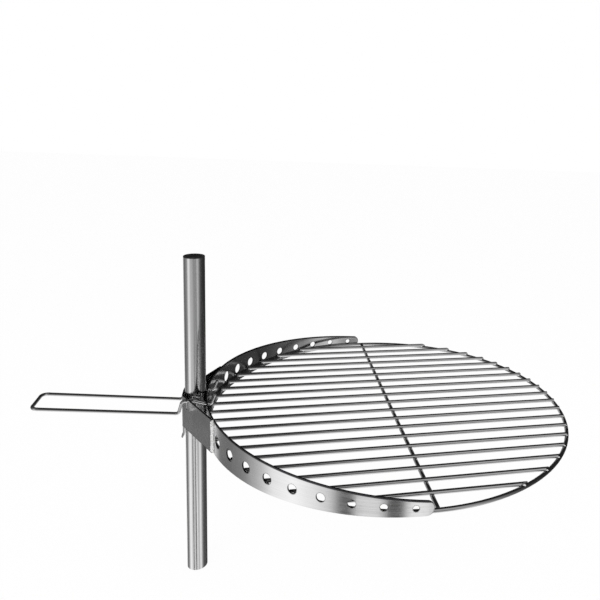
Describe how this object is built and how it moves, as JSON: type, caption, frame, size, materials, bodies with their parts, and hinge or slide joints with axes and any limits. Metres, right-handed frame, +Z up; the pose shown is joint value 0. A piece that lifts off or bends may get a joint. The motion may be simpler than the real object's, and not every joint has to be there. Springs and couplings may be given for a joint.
{
  "type": "grill stand",
  "caption": "Round steel cooking grate with a perforated wind band, sliding on an upright tube pole by a bent clamp bracket, with a hinged wire handle.",
  "frame": {"origin": "centre of the pole's lower end", "axes": "+Z up the pole; +X from the pole to the middle of the grate; the handle points to -X; +Y to the left when looking along +X"},
  "size_m": [0.849, 0.604, 0.53],
  "materials": {
    "pole_steel": "tube brushed lengthwise, satin",
    "cap_plastic": "black, satin",
    "bracket_steel": "rolled stainless sheet, satin",
    "weld_steel": "rippled weld bead, bright",
    "band_steel": "rolled stainless sheet, half bright",
    "frame_wire": "drawn stainless wire, half bright",
    "bar_wire": "drawn stainless wire, bright",
    "handle_wire": "drawn stainless wire, bright"
  },
  "bodies": {
    "pole": {"pole": "pole_steel", "pole_cap": "cap_plastic"},
    "grate": {"clamp_bracket": "bracket_steel", "bracket_weld_near": "weld_steel", "bracket_weld_far": "weld_steel", "edge_band": "band_steel", "ring_wire": "frame_wire", "cross_bar": "frame_wire", "bar_01": "bar_wire", "bar_02": "bar_wire", "bar_03": "bar_wire", "bar_04": "bar_wire", "bar_05": "bar_wire", "bar_06": "bar_wire", "bar_07": "bar_wire", "bar_08": "bar_wire", "bar_09": "bar_wire", "bar_10": "bar_wire", "bar_11": "bar_wire", "bar_12": "bar_wire", "bar_13": "bar_wire", "bar_14": "bar_wire", "bar_15": "bar_wire", "bar_16": "bar_wire", "bar_17": "bar_wire", "bar_18": "bar_wire", "bar_19": "bar_wire"},
    "handle": {"handle": "handle_wire"}
  },
  "joints": [
    {"name": "grate_slide", "type": "slide", "parent": "pole", "child": "grate", "axis": [0, 0, 1], "range_m": [-0.18, 0.2]},
    {"name": "handle_hinge", "type": "hinge", "parent": "grate", "child": "handle", "pos_m": [0.01852, 0, 0.2992], "axis": [0, 1, 0], "range_deg": [0, 25]}
  ]
}
